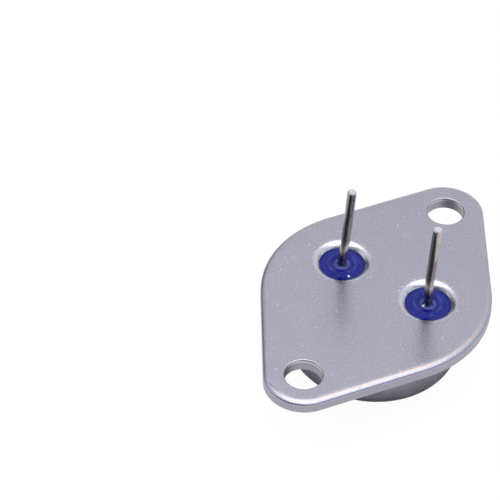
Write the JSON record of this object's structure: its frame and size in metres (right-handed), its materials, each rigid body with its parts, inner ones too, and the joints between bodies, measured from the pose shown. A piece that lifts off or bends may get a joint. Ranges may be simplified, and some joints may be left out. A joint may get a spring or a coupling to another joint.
{
  "type": "power transistor",
  "caption": "Power transistor in a metal can package: a round can welded under a rhombic screw-down flange, with stiff round leads standing in blue glass seals.",
  "frame": {"origin": "centre of the flange's seating face, midway between the two screw holes", "axes": "+Z square out of the seating face, along the leads; +X along the line of the screw holes, towards the hole nearer the leads; +Y towards the base lead"},
  "size_m": [0.0386, 0.0252, 0.0192],
  "materials": {
    "flange_steel": "satin",
    "can_steel": "satin",
    "lead_wire": "polished",
    "seal_glass": "gloss",
    "braze_alloy": "satin",
    "spreader_copper": "satin",
    "soft_solder": "matte",
    "silicon": "polished",
    "bond_wire": "satin",
    "silicone_gel": "gloss"
  },
  "bodies": {
    "root": {"flange": "flange_steel", "can": "can_steel", "base_lead": "lead_wire", "emitter_lead": "lead_wire", "base_glass_seal": "seal_glass", "emitter_glass_seal": "seal_glass", "spreader_braze": "braze_alloy", "heat_spreader": "spreader_copper", "chip_solder": "soft_solder", "chip": "silicon", "base_bond_wire": "bond_wire", "emitter_bond_wire": "bond_wire", "chip_coating": "silicone_gel"}
  },
  "joints": []
}
